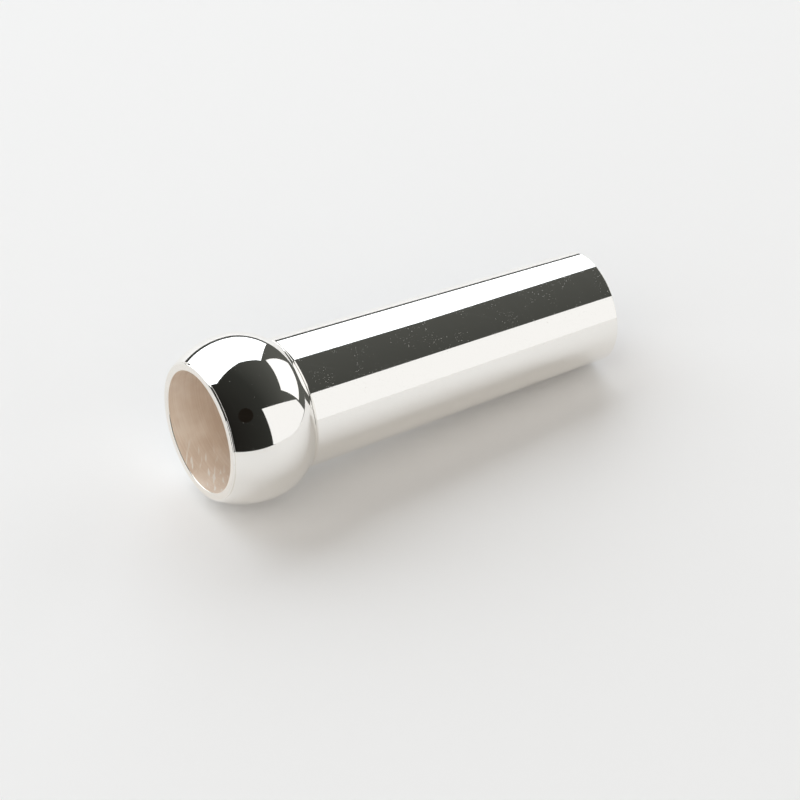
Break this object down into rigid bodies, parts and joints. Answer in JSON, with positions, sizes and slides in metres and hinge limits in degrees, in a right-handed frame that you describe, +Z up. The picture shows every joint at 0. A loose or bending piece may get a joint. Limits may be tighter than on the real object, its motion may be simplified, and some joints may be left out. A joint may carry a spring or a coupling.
{
  "type": "mouthpiece shank adapter",
  "caption": "Ball-ended adapter for a brass instrument mouthpiece: a thin tapered tube with a turned ball soldered round its open mouth, silver plated.",
  "frame": {"origin": "centre of the mouth, in the plane of the tube's cut end", "axes": "+X along the tube's axis from the mouth to the shank's end, +Z up; the part is round about X"},
  "size_m": [0.0466, 0.0172, 0.0173],
  "materials": {
    "plated_tube": "silver plated, mirror polished outside, satin reamed bore",
    "plated_ball": "silver plated, mirror polished",
    "silver_solder": "silver solder, plated over and buffed"
  },
  "bodies": {
    "root": {"shank_tube": "plated_tube", "ball_collar": "plated_ball", "solder_joint": "silver_solder"}
  },
  "joints": []
}
